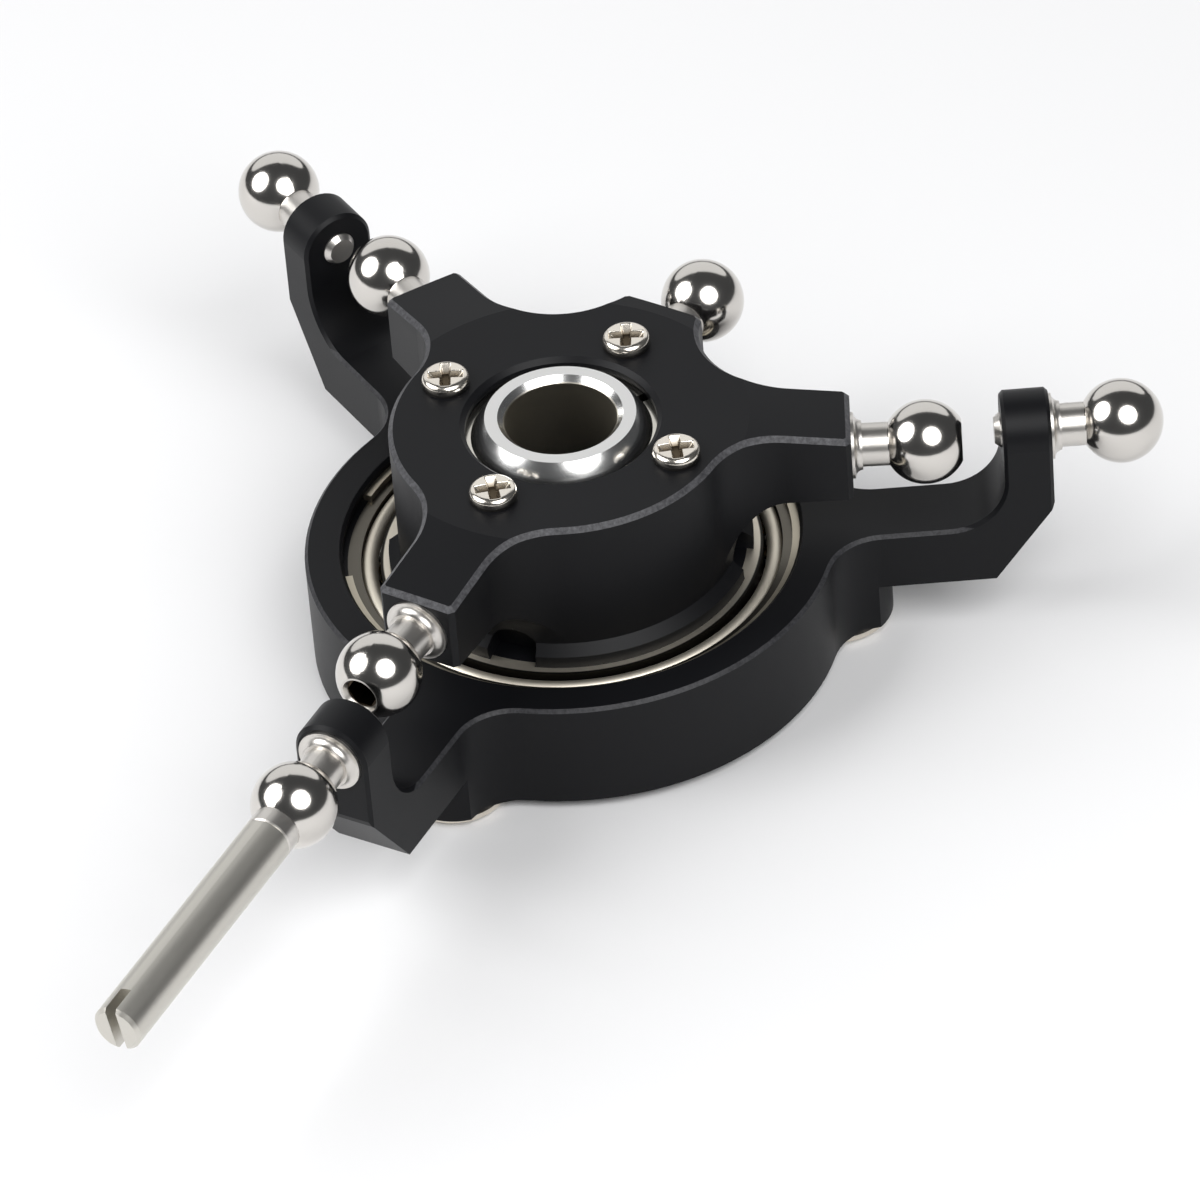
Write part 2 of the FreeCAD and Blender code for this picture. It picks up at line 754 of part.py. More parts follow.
def make_lower_star():
    """Stationary ring with three arms; each arm rises to a round-topped post."""
    body = new_body("lower_star", LOWER_FRONT)
    ring_r = dim("ring_radius")
    top = dim("ring_top")
    bottom = dim("ring_bottom")
    arm_bottom = dim("lower_arm_bottom")
    width = dim("lower_arm_width")
    inner = dim("post_inner")
    outer = dim("post_outer")
    dip = dim("post_dip_radius")
    nose_r = dim("boss_radius")
    nose_x = dim("boss_offset")

    disc = new_sketch(body, "XY_Plane", bottom)
    add_circle(disc, ring_r)
    pad(body, disc, top - bottom)
    outline = new_sketch(body, "XZ_Plane")
    add_profile(outline, [
        (0, bottom),
        (nose_x + nose_r + 0.2, bottom),
        (nose_x + nose_r + 0.2, arm_bottom),
        (dim("post_heel"), arm_bottom),
        (outer, dim("post_corner_z")),
        (outer, 0),
        (inner, 0),
        (inner, top + dip),
        (inner - dip, top, dip, -1),
        (0, top),
    ])
    arm = pad(body, outline, width, midplane=True)
    sketch = new_sketch(body, "YZ_Plane", inner)
    add_circle(sketch, width / 2)
    post = pad(body, sketch, outer - inner)
    arms = polar_copies(body, [arm, post], 3)
    doc.recompute()
    roots = edge_names(arms, lambda edge: is_root(edge, ring_r.value))
    rounded(body, arms, roots, dim("lower_arm_fillet"))

    # under the arm the root ends in a rounded nose round the retaining screw
    start = nose_x + nose_r * 0.38
    side = sphere_offset(nose_r, start - nose_x)
    sketch = new_sketch(body, "XY_Plane", bottom)
    add_profile(sketch, [
        (start, -nose_r - 2),
        (start, -side),
        (start, side, nose_r, 1),
        (start, nose_r + 2),
        (start + nose_r + 1, nose_r + 2),
        (start + nose_r + 1, -nose_r - 2),
    ])
    trim = pocket(body, sketch, arm_bottom - bottom, reverse=True)
    noses = polar_copies(body, [trim], 3)
    doc.recompute()
    rim = edge_names(noses, lambda edge: is_lower_rim(edge, top.value, arm_bottom.value))
    bevelled(body, noses, rim, dim("lower_edge_chamfer"))

    # bore for the bearing, with the groove for the snap ring and a wider mouth
    mouth = dim("ring_mouth_r")
    groove_top = race_top + dim("snap_groove_height")
    lead = dim("lower_edge_chamfer")
    turned(body, [
        (0, bottom - 1),
        (bearing_outer_r, bottom - 1),
        (bearing_outer_r, race_top),
        (dim("snap_groove_r"), race_top),
        (dim("snap_groove_r"), groove_top),
        (mouth, groove_top),
        (mouth, top - lead),
        (mouth + lead, top),
        (mouth + lead, top + 1),
        (0, top + 1),
    ], cut=True)

    # holes for the link balls and the retaining screws
    sketch = new_sketch(body, "YZ_Plane", outer + 1)
    add_circle(sketch, link_thread_r)
    hole = pocket(body, sketch, outer - inner + 2)
    polar_copies(body, [hole], 3)
    sketch = new_sketch(body, "XY_Plane", bottom)
    add_circle(sketch, dim("retaining_screw_d") / 2, dim("retaining_screw_offset"))
    hole = pocket(body, sketch, dim("retaining_screw_length") + 0.5, reverse=True)
    polar_copies(body, [hole], 3)


def make_bearing_spacer():
    """Ring between the outer race and the heads of the retaining screws."""
    body = new_body("bearing_spacer")
    inner = dim("spacer_inner_r")
    bottom = dim("ring_bottom")
    turned(body, [
        (inner, bottom),
        (bearing_outer_r, bottom),
        (bearing_outer_r, race_bottom),
        (inner, race_bottom),
    ])


def make_retaining_screws():
    """Three screws with wide low heads under the noses of the ring."""
    body = new_body("retaining_screws", LOWER_FRONT)
    body.AllowCompound = True
    axis = dim("retaining_screw_offset")
    seat = dim("ring_bottom")
    head_r = dim("retaining_head_d") / 2
    low = seat - dim("retaining_head_height")
    edge = dim("edge_chamfer")
    shank_r = dim("retaining_screw_d") / 2
    screw = turned(body, [
        (axis, low),
        (axis + head_r - edge, low),
        (axis + head_r, low + edge),
        (axis + head_r, seat),
        (axis + shank_r, seat),
        (axis + shank_r, seat + dim("retaining_screw_length")),
        (axis, seat + dim("retaining_screw_length")),
    ], axis_at=axis)
    sketch = new_sketch(body, "XY_Plane", low)
    cross_outline(sketch, dim("retaining_cross"), dim("retaining_cross_width"), axis)
    recess = pocket(body, sketch, dim("retaining_head_height") * 2, reverse=True)
    polar_copies(body, [screw, recess], 3)


def make_snap_ring():
    """Open ring in the groove above the outer race."""
    body = new_body("snap_ring", -141.5)
    inner = dim("snap_ring_inner_r")
    outer = dim("snap_ring_outer_r")
    ring_top = race_top + dim("snap_ring_thickness")
    ring = turned(body, [
        (inner, race_top),
        (outer, race_top),
        (outer, ring_top),
        (inner, ring_top),
    ])
    bind(ring, "Angle", dim("snap_ring_sweep_deg"))


# Linkage balls, drawn with the arm's direction as x and the radius as y

def stud_collar(seat):
    """Outline of the collar that beds on the arm and flares into the neck."""
    collar_r = dim("link_collar_d") / 2
    throat = seat + dim("link_collar_depth")
    return [
        (seat, link_thread_r),
        (seat, collar_r),
        (seat + dim("link_collar_edge"), collar_r),
        (throat, dim("link_throat_d") / 2, dim("link_flare_radius"), 1),
        (throat, link_neck_r),
    ]


def make_upper_ball(name, azimuth_deg, seat, centre, thread):
    """Ball with a flat end and a hexagon socket, screwed into an arm of the upper star."""
    body = new_body(name, azimuth_deg, dim("upper_ball_z"))
    tail = seat - thread
    flat_r = dim("link_end_flat_d") / 2
    end = centre + sphere_offset(link_ball_r, flat_r)
    dish = end - dim("link_socket_dish")
    hexagon = dim("link_hex_width") / root(as_size(3))
    turned(body, [
        (tail, 0),
        (tail, link_thread_r),
        *stud_collar(seat),
        (centre - sphere_offset(link_ball_r, link_neck_r), link_neck_r),
        (end, flat_r, link_ball_r, -1),
        (end, dim("link_socket_d") / 2),
        (dish, hexagon),
        (dish, 0),
    ], axis="H_Axis")
    half = hexagon / 2
    across = dim("link_hex_width") / 2
    sketch = new_sketch(body, "YZ_Plane", dish)
    add_profile(sketch, [
        (hexagon, 0),
        (half, across),
        (-half, across),
        (-hexagon, 0),
        (-half, -across),
        (half, -across),
    ])
    pocket(body, sketch, dim("link_hex_depth"))


def lower_stud_outline():
    """Outline shared by the lower balls, from the domed tip behind the post to the neck."""
    inner = dim("post_inner")
    tip = inner - dim("lower_thread_tip")
    centre = dim("lower_ball_reach")
    return [
        (tip, 0),
        (tip, link_thread_r - 0.3),
        (inner - 0.1, link_thread_r),
        *stud_collar(dim("post_outer")),
        (centre - sphere_offset(link_ball_r, link_neck_r), link_neck_r),
    ]


def make_lower_ball(name, azimuth_deg):
    """Plain ball screwed through a post of the lower star."""
    body = new_body(name, azimuth_deg)
    centre = dim("lower_ball_reach")
    turned(body, [
        *lower_stud_outline(),
        (centre + link_ball_r, 0, link_ball_r, -1),
    ], axis="H_Axis")


def make_anti_rotation_ball():
    """Lower ball with a shoulder, tapped for the anti-rotation pin."""
    body = new_body("anti_rotation_ball", LOWER_FRONT)
    centre = dim("lower_ball_reach")
    start = dim("pin_start")
    groove = dim("pin_joint_groove")
    stub_r = dim("pin_stub_d") / 2
    tap = start - dim("pin_stub_length") - 0.4
    turned(body, [
        *lower_stud_outline(),
        (centre + sphere_offset(link_ball_r, pin_r), pin_r, link_ball_r, -1),
        (start - groove, pin_r),
        (start, pin_r - groove),
        (start, stub_r),
        (tap, stub_r),
        (tap, 0),
    ], axis="H_Axis")


def make_anti_rotation_pin():
    """Long pin that slides in the rotation guide, slotted at its free end."""
    body = new_body("anti_rotation_pin", LOWER_FRONT)
    start = dim("pin_start")
    end = dim("pin_end")
    groove = dim("pin_joint_groove")
    chamfer = dim("pin_chamfer")
    stub_r = dim("pin_stub_d") / 2
    turned(body, [
        (start - dim("pin_stub_length"), 0),
        (start - dim("pin_stub_length"), stub_r),
        (start, stub_r),
        (start, pin_r - groove),
        (start + groove, pin_r),
        (end - chamfer, pin_r),
        (end, pin_r - chamfer),
        (end, 0),
    ], axis="H_Axis")
    angle = math.radians(DIMENSIONS["pin_slot_turn_deg"])
    along = (math.cos(angle), math.sin(angle))
    far = pin_r + 1
    half = dim("pin_slot_width") / 2
    sketch = new_sketch(body, "YZ_Plane", end)
    corners = [(far, half), (-far, half), (-far, -half), (far, -half)]
    add_profile(sketch, [
        (x * along[0] - y * along[1], x * along[1] + y * along[0]) for x, y in corners])
    pocket(body, sketch, dim("pin_slot_depth"))


make_uniball()
make_ball_cup()
make_upper_star()
make_inner_sleeve()
make_hub_screws()
make_inner_race()
make_outer_race()
make_bearing_balls()
make_cage()
make_shield("bearing_shield_top", 1)
make_shield("bearing_shield_bottom", -1)
make_lower_star()
make_bearing_spacer()
make_retaining_screws()
make_snap_ring()
for name, azimuth in (("front", -90.0), ("right", 30.0), ("left", 150.0)):
    make_upper_ball(f"upper_ball_{name}", azimuth, dim("upper_arm_reach"),
                    dim("upper_ball_reach"), dim("upper_thread_length"))
make_upper_ball("upper_ball_rear", 90.0, dim("rear_arm_reach"),
                dim("rear_ball_reach"), dim("rear_thread_length"))
for name, azimuth in (("right", 120.0), ("left", 240.0)):
    make_lower_ball(f"lower_ball_{name}", LOWER_FRONT + azimuth)
make_anti_rotation_ball()
make_anti_rotation_pin()
doc.recompute()

for item in doc.Objects:
    if "Invalid" in item.State or "Error" in item.State:
        raise RuntimeError(f"{item.Name} did not compute: {item.State}")

os.makedirs("parts", exist_ok=True)
for body in doc.findObjects("PartDesign::Body"):
    shape = body.Shape
    if shape.isNull() or not shape.isValid():
        raise RuntimeError(f"{body.Label} has no valid shape")
    shape.exportStep(f"parts/{body.Label}.step")
    print(f"{body.Label}: {len(shape.Solids)} solid(s), {shape.Volume:.2f} mm3")
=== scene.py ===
import json
import math

import bpy
import numpy as np
from mathutils import Matrix, Vector


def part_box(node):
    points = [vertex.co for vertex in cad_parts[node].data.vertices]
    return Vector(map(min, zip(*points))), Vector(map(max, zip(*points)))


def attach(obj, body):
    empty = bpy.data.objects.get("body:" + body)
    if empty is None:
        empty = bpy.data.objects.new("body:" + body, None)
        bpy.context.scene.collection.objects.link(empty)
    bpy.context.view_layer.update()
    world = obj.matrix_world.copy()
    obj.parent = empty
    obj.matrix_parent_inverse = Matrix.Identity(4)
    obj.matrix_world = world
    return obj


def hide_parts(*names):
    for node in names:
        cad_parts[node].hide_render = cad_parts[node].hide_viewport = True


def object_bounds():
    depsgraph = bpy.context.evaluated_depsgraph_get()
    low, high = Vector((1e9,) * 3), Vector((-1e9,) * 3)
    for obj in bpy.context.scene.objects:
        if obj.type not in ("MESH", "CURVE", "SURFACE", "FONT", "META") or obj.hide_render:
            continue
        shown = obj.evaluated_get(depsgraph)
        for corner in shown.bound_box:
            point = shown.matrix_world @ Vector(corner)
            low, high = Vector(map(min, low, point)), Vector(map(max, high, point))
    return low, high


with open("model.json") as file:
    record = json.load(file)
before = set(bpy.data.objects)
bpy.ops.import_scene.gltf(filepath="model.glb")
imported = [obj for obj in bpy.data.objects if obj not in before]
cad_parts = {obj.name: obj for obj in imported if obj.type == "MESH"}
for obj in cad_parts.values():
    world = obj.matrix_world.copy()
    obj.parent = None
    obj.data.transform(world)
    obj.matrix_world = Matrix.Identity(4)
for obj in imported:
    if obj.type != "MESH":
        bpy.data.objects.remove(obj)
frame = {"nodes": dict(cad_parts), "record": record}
cad_low, cad_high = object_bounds()


# Lower star: the ring that stands still, with three posts for the servo links.
# Milled from aluminium bar and anodised black, which leaves a dry satin skin with finely
# scored chamfers, paled by a painted highlight. The bearing is slid in from below.

class Wire:
    """A value in a material: an output socket, on which arithmetic adds Math nodes."""

    def __init__(self, tree, socket=None):
        self.tree = tree
        self.socket = socket

    def node(self, kind, settings=None, sockets=None, output=0):
        """Adds a node of that type, sets it up, fills its sockets and gives its output."""
        made = self.tree.nodes.new(kind)
        for name, value in (settings or {}).items():
            setattr(made, name, value)
        live = {}
        for plug in made.inputs:
            if plug.enabled:
                live.setdefault(plug.name, plug)
        for name, value in (sockets or {}).items():
            plug = made.inputs[name] if isinstance(name, int) else live[name]
            if isinstance(value, Wire):
                self.tree.links.new(value.socket, plug)
            else:
                plug.default_value = value
        results = [plug for plug in made.outputs if plug.enabled]
        if not results:
            return None
        if isinstance(output, int):
            return Wire(self.tree, results[output])
        return Wire(self.tree, next(plug for plug in results if plug.name == output))

    def maths(self, operation, first, second=0.0):
        return self.node("ShaderNodeMath", {"operation": operation}, {0: first, 1: second})

    def __add__(self, other):
        return self.maths("ADD", self, other)

    def __radd__(self, other):
        return self.maths("ADD", other, self)

    def __sub__(self, other):
        return self.maths("SUBTRACT", self, other)

    def __rsub__(self, other):
        return self.maths("SUBTRACT", other, self)

    def __mul__(self, other):
        return self.maths("MULTIPLY", self, other)

    def __rmul__(self, other):
        return self.maths("MULTIPLY", other, self)

    def __gt__(self, other):
        return self.maths("GREATER_THAN", self, other)

    def __lt__(self, other):
        return self.maths("LESS_THAN", self, other)

    def __abs__(self):
        return self.maths("ABSOLUTE", self)


def new_finish(name):
    """An empty material, a wire to build it with, and the place of each point on the piece."""
    material = bpy.data.materials.new(name)
    material.use_nodes = True
    material.node_tree.nodes.clear()
    start = Wire(material.node_tree)
    return material, start, start.node("ShaderNodeTexCoord", output="Object")


def close_finish(start, sockets):
    """Ends a material with a Principled shader whose sockets are as given."""
    shader = start.node("ShaderNodeBsdfPrincipled", None, sockets)
    start.node("ShaderNodeOutputMaterial", None, {"Surface": shader})


def dress(node, material):
    """Gives a CAD node its finish."""
    mesh = frame["nodes"][node].data
    mesh.materials.clear()
    mesh.materials.append(material)


def fade(start, value, begin, end, first=0.0, last=1.0, curve="LINEAR"):
    """The first number up to the beginning, the last one from the end on, a slope between."""
    return start.node("ShaderNodeMapRange", {"interpolation_type": curve},
                      {"Value": value, "From Min": begin, "From Max": end,
                       "To Min": first, "To Max": last})


def noise(start, place, scale, detail, roughness):
    """A pattern about one half, with that many cells to the metre."""
    return start.node("ShaderNodeTexNoise", None,
                      {"Vector": place, "Scale": scale, "Detail": detail,
                       "Roughness": roughness})


def blend(start, amount, bare, covered):
    """The bare colour where the amount is nought, and the covering one where it is one."""
    return start.node("ShaderNodeMix", {"data_type": "RGBA"},
                      {"Factor": amount, "A": (*bare, 1.0), "B": (*covered, 1.0)},
                      output="Result")


def height_of(start, vector):
    """The part of a vector along the mast."""
    return start.node("ShaderNodeSeparateXYZ", None, {"Vector": vector}, output="Z")


def facing_up(start):
    """One on a level face that looks up, nought on an upright one."""
    return height_of(start, start.node("ShaderNodeNewGeometry", output="Normal"))


def distance_from_axis(start, place):
    """How far a point is from the mast's axis."""
    across = start.node("ShaderNodeVectorMath", {"operation": "MULTIPLY"},
                        {0: place, 1: (1.0, 1.0, 0.0)})
    return start.node("ShaderNodeVectorMath", {"operation": "LENGTH"}, {0: across},
                      output="Value")


ANODISED_BLACK = (0.0045, 0.0047, 0.0058)
# Pale grey of the upward chamfers: their fine scoring, with a painted highlight for the light
# they catch.
SCORED_EDGE_HIGHLIGHT = (0.3, 0.3, 0.32)
CHAMFER_SLOPE = math.sqrt(0.5)


def black_anodised(name, highlight_gain, edge_width, lowest, highest, nearest):
    """Satin black with a fine grain; 45 degree edges that face up are finely scored and paled by
    a painted highlight.

    The edges that show it lie between two heights and beyond a distance from the mast.
    """
    material, start, place = new_finish(name)
    height = height_of(start, place)
    off_slope = abs(facing_up(start) - CHAMFER_SLOPE)
    # Painted highlight: upward 45 degree chamfers within the given heights and distance are paled
    # in colour.
    chamfer_highlight = fade(start, off_slope, edge_width, edge_width * 2, 1.0, 0.0, "SMOOTHSTEP")
    chamfer_highlight = chamfer_highlight * (height > lowest) * (height < highest)
    chamfer_highlight = chamfer_highlight * (distance_from_axis(start, place) > nearest)
    grain = noise(start, place, scale=9000.0, detail=3.0, roughness=0.6)
    clouds = noise(start, place, scale=160.0, detail=2.0, roughness=0.5)
    scores = noise(start, place, scale=3500.0, detail=2.0, roughness=0.7)
    close_finish(start, {
        "Base Color": blend(start, chamfer_highlight * (scores * 1.1 - 0.1) * highlight_gain,
                            ANODISED_BLACK, SCORED_EDGE_HIGHLIGHT),
        "Metallic": 0.0,
        "Roughness": 0.36 + grain * 0.08 + clouds * 0.05,
        "Specular IOR Level": 0.18,
        "Normal": start.node("ShaderNodeBump", None,
                             {"Strength": 0.12, "Distance": 0.00001, "Height": grain}),
    })
    return material


SNAP_RING_DEPTH = 0.0007
ring_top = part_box("snap_ring")[1].z + SNAP_RING_DEPTH
ring_skin = black_anodised("black_anodised_ring", highlight_gain=0.22, edge_width=0.05,
                           lowest=ring_top - 0.0006, highest=ring_top + 0.0001,
                           nearest=0.0165)
dress("lower_star", ring_skin)


# Bearing: two ground rings, a row of balls in a brass crown cage, and a pressed shield on each
# side. The rings and balls are chrome steel; the shields are bright sheet with a warm tint,
# crimped in the outer ring. A spring steel snap ring above and a black spacer below hold it.

def bright_metal(name, colour, roughness):
    """Bare metal with a fine grain in its gloss."""
    material, start, place = new_finish(name)
    grain = noise(start, place, scale=3000.0, detail=2.0, roughness=0.5)
    close_finish(start, {
        "Base Color": (*colour, 1.0),
        "Metallic": 1.0,
        "Roughness": roughness + (grain - 0.5) * 0.06,
        "Normal": start.node("ShaderNodeBump", None,
                             {"Strength": 0.05, "Distance": 0.00001, "Height": grain}),
    })
    return material


FACE_STEEL = (0.9, 0.84, 0.72)
# Near black colour at the land: painted shade on the race's rounded edge.
LAND_PAINTED_SHADE = (0.03, 0.028, 0.024)
FACE_END = 0.0134
LAND_START = 0.0135


def race_finish():
    """Bright ground face near the bore, falling to painted shade on the rounded edge at the land.
    """
    material, start, place = new_finish("bearing_steel_inner")
    # Painted shade: past the face, the race is coloured near black.
    land = fade(start, distance_from_axis(start, place), FACE_END, LAND_START,
                curve="SMOOTHSTEP")
    grain = noise(start, place, scale=3000.0, detail=2.0, roughness=0.5)
    close_finish(start, {"Base Color": blend(start, land, FACE_STEEL, LAND_PAINTED_SHADE),
                         "Metallic": 1.0,
                         "Roughness": 0.42 + grain * 0.08})
    return material


def put(name, data):
    """A new object in the scene, at the origin."""
    made = bpy.data.objects.new(name, data)
    bpy.context.scene.collection.objects.link(made)
    return made


def pressed_ring(name, inner, outer, bottom, top, arc_points=25, turn_points=360):
    """A thin ring pressed into a low arch: half an ellipse in section, closed by a flat back.

    Over half a turn of the section's angle, the radius goes from inner to outer as the cosine
    and the height rises from the bottom to the top and back as the sine.
    """
    arc = np.linspace(0.0, np.pi, arc_points)
    middle, half = (inner + outer) / 2, (outer - inner) / 2
    radii = middle - half * np.cos(arc)
    heights = bottom + (top - bottom) * np.sin(arc)
    turns = np.linspace(0.0, 2 * np.pi, turn_points, endpoint=False)
    points = np.stack([radii[:, None] * np.cos(turns), radii[:, None] * np.sin(turns),
                       heights[:, None] + 0 * turns], axis=-1).reshape(-1, 3)
    row = np.arange(arc_points)[:, None] * turn_points
    next_row = np.roll(row, -1)
    here = np.arange(turn_points)
    after = np.roll(here, -1)
    quads = np.stack([row + here, next_row + here, next_row + after, row + after], axis=-1)
    mesh = bpy.data.meshes.new(name)
    mesh.from_pydata(points.tolist(), [], quads.reshape(-1, 4).tolist())
    mesh.shade_smooth()
    return put(name, mesh)


shield_sheet = bright_metal("shield_metal", colour=(0.92, 0.86, 0.74), roughness=0.5)
# The outer ring's chrome steel is given a dark colour: painted shade on its chamfer and face.
dress("bearing_outer_race",
      bright_metal("bearing_steel", colour=(0.14, 0.13, 0.11), roughness=0.32))
dress("bearing_inner_race", race_finish())
dress("bearing_balls",
      bright_metal("polished_steel", colour=(0.72, 0.70, 0.67), roughness=0.10))
dress("bearing_cage", bright_metal("cage_brass", colour=(0.72, 0.55, 0.28), roughness=0.25))
dress("snap_ring", bright_metal("spring_steel", colour=(0.58, 0.53, 0.43), roughness=0.42))
dress("bearing_spacer", ring_skin)
dress("bearing_shield_bottom", shield_sheet)

ARCH_INNER = 0.01387
shield_low, shield_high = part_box("bearing_shield_top")
arch = pressed_ring("shield_arch", ARCH_INNER, shield_high.x, shield_low.z, shield_high.z)
arch.data.materials.append(shield_sheet)
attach(arch, "stationary")
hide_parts("bearing_shield_top")


# Retaining screws: three screws with low, wide heads, driven up into the bosses of the lower
# star from below. They are nickel-plated steel, and their heads press the spacer and with it
# the bearing's outer ring against the snap ring.

dress("retaining_screws",
      bright_metal("nickel_screws", colour=(0.82, 0.76, 0.67), roughness=0.2))


# Inner sleeve, split cup and uniball: the sleeve carries the bearing, and the cup holds the ball.
# The ball slides on the mast and swivels in the cup. It is turned from stainless bar: the flat
# end is left matt, its chamfers and sphere are polished, and the bore is reamed and darkened by
# painted shade.

BORE_RADIUS = 0.004
BALL_STAINLESS = (0.88, 0.88, 0.87)
# Colour inside the bore: painted shade.
BORE_PAINTED_SHADE = (0.6, 0.57, 0.5)


def uniball_finish():
    """Polished steel, matt where the face points up, and rougher inside the bore, with painted
    shade there.
    """
    material, start, place = new_finish("uniball_steel")
    flat = fade(start, facing_up(start), 0.93, 0.97)
    bore = fade(start, distance_from_axis(start, place), BORE_RADIUS + 0.00005,
                BORE_RADIUS + 0.0001, 1.0, 0.0)
    close_finish(start, {"Base Color": blend(start, bore, BALL_STAINLESS, BORE_PAINTED_SHADE),
                         "Metallic": 1.0,
                         "Roughness": 0.2 + flat * 0.28 + bore * 0.12})
    return material


dress("inner_sleeve", ring_skin)
dress("ball_cup", bright_metal("liner_metal", colour=(0.66, 0.64, 0.58), roughness=0.18))
dress("uniball", uniball_finish())


# Upper star: the hub that turns with the rotor, with three arms for the blade links and a
# fourth short one. Milled from the same black bar; the cutter leaves its top edges finely
# scored, and a painted highlight makes them bright.

dress("upper_star", black_anodised("black_anodised_hub", highlight_gain=0.45, edge_width=0.06,
                                   lowest=0.0, highest=1.0, nearest=0.0085))


# Hub screws: four pan-head screws of nickel-plated steel, which draw the sleeve up into the
# hub. The cross recess is punched cold, so its wings taper down to the middle, and each screw
# stops at its own angle.

HEAD_RADIUS = 0.0017
HEAD_HEIGHT = 0.0009
CROWN_RISE = 0.00003
SHANK_RADIUS = 0.001
TIP_TAPER = 0.0002
RECESS_LENGTH = 0.0026
RECESS_WIDTH = 0.0008
RECESS_DEPTH = HEAD_HEIGHT * 0.72
END_SLOPE = 1.3
SIDE_SLOPE = 3.2
STOP_ANGLES = (0.64, 0.5, 0.52, 0.68)
NICKEL_PLATE = (0.84, 0.79, 0.71)
# Dark brown in the cross recess: painted shade, stronger where the recess is deeper.
RECESS_PAINTED_SHADE = (0.11, 0.085, 0.055)


def recess_depth(along, across):
    """The larger of two crossed bars, each a slope from its ends and sides, cut at a depth."""
    def bar(first, second):
        from_end = (RECESS_LENGTH / 2 - np.abs(first)) * END_SLOPE
        from_side = (RECESS_WIDTH / 2 - np.abs(second)) * SIDE_SLOPE
        return np.clip(np.minimum(from_end, from_side), 0.0, RECESS_DEPTH)
    return np.maximum(bar(along, across), bar(across, along))


def screw_surface(axis, angle, seat, tip, turn_points=180, crown_rings=64, rim_rings=10):
    """A turned screw as rings of points from the crown's middle to the shank's end.

    Each ring lies at one distance from the axis; the crown is a shallow dome with a quarter
    round rim, from which the recess depth is taken off. The side, the seat and the shank
    follow as rings straight below. Gives the points, the quads, the triangles that close both
    ends, and at each point how deep in the recess it lies, from nought to one.
    """
    round_r = HEAD_HEIGHT / 2
    turns = np.linspace(0.0, 2 * np.pi, turn_points, endpoint=False)
    flat = np.linspace(0.0, HEAD_RADIUS - round_r, crown_rings)[1:]
    rim = np.linspace(0.0, np.pi / 2, rim_rings)[1:]
    radii = np.concatenate([flat, HEAD_RADIUS - round_r + round_r * np.sin(rim),
                            [HEAD_RADIUS, SHANK_RADIUS, SHANK_RADIUS, SHANK_RADIUS * 0.8]])
    crown = seat + HEAD_HEIGHT - CROWN_RISE * (flat / HEAD_RADIUS) ** 2
    edge = crown[-1] - round_r * (1 - np.cos(rim))
    heights = np.concatenate([crown, edge, [seat, seat, tip + TIP_TAPER, tip]])
    x = radii[:, None] * np.cos(turns)
    y = radii[:, None] * np.sin(turns)
    on_crown = (np.arange(len(radii)) < len(flat))[:, None]
    cut = recess_depth(x, y) * on_crown
    rings = np.stack([x * math.cos(angle) - y * math.sin(angle) + axis[0],
                      x * math.sin(angle) + y * math.cos(angle) + axis[1],
                      heights[:, None] - cut], axis=-1).reshape(-1, 3)
    middle = (axis[0], axis[1], crown[0] - RECESS_DEPTH)
    end = (axis[0], axis[1], tip)
    row = np.arange(len(radii) - 1)[:, None] * turn_points
    next_row = row + turn_points
    here = np.arange(turn_points)
    after = np.roll(here, -1)
    quads = np.stack([row + here, next_row + here, next_row + after, row + after], axis=-1)
    last = (len(radii) - 1) * turn_points
    top_pole = np.full(turn_points, len(rings))
    caps = np.concatenate([np.stack([top_pole, here, after], axis=-1),
                           np.stack([top_pole + 1, last + after, last + here], axis=-1)])
    depth = np.append((cut / RECESS_DEPTH).reshape(-1), [1.0, 0.0])
    return np.vstack([rings, middle, end]), quads.reshape(-1, 4), caps, depth


def nickel_recess():
    """Warm nickel plate, duller down in the recess, and darkened brown there by painted shade."""
    material, start, place = new_finish("nickel_screws_cross")
    depth = start.node("ShaderNodeAttribute", {"attribute_name": "recess"}, output="Fac")
    grain = noise(start, place, scale=3000.0, detail=2.0, roughness=0.5)
    close_finish(start, {"Base Color": blend(start, depth, NICKEL_PLATE, RECESS_PAINTED_SHADE),
                         "Metallic": 1.0,
                         "Roughness": 0.17 + grain * 0.06 + depth * 0.15})
    return material


screw_low, screw_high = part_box("hub_screws")
circle = screw_high.x - HEAD_RADIUS
points, faces, depths, count = [], [], [], 0
for quarter, stop_angle in enumerate(STOP_ANGLES):
    lies_at = math.pi * quarter / 2
    screw_points, quads, caps, depth = screw_surface(
        (circle * math.cos(lies_at), circle * math.sin(lies_at)), stop_angle,
        screw_high.z - HEAD_HEIGHT, screw_low.z)
    points.append(screw_points)
    faces += (quads + count).tolist() + (caps + count).tolist()
    depths.append(depth)
    count += len(screw_points)
screw_mesh = bpy.data.meshes.new("hub_screw_set")
screw_mesh.from_pydata(np.vstack(points).tolist(), [], faces)
screw_mesh.attributes.new("recess", "FLOAT", "POINT").data.foreach_set(
    "value", np.concatenate(depths))
screw_mesh.shade_smooth()
screw_mesh.materials.append(nickel_recess())
screw_set = put("hub_screw_set", screw_mesh)
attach(screw_set, "rotating")
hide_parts("hub_screws")


# Link balls and pin: seven balls of 6 mm for the ball links, and the pin that stops the lower
# star from turning. Each ball is polished and its stud is finely turned, in one piece of
# stainless steel. The pin is ground, slotted at its end and screwed into the front ball.

